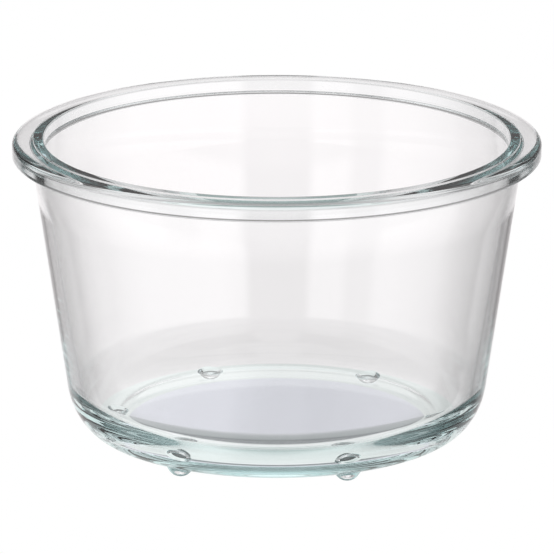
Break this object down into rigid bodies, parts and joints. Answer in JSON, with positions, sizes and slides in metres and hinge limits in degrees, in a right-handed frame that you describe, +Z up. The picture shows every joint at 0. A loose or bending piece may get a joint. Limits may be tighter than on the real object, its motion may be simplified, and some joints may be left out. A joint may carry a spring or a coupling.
{
  "type": "glass food storage container",
  "caption": "Round clear glass food storage container without a lid: tapered thin wall, stepped rim flange for a press-on lid, thick rounded base and small domed feet.",
  "frame": {"origin": "centre of the plane that the feet rest on, on the vessel's axis", "axes": "+Z up along the vessel's axis, +X through the foot named foot_right; the feet sit every 60 degrees from +X"},
  "size_m": [0.14, 0.14, 0.0828],
  "materials": {
    "clear_glass": "gloss, faint blue-green tint that shows in thick sections"
  },
  "bodies": {
    "root": {"glass_bowl": "clear_glass", "foot_right": "clear_glass", "foot_back_right": "clear_glass", "foot_back_left": "clear_glass", "foot_left": "clear_glass", "foot_front_left": "clear_glass", "foot_front_right": "clear_glass"}
  },
  "joints": []
}
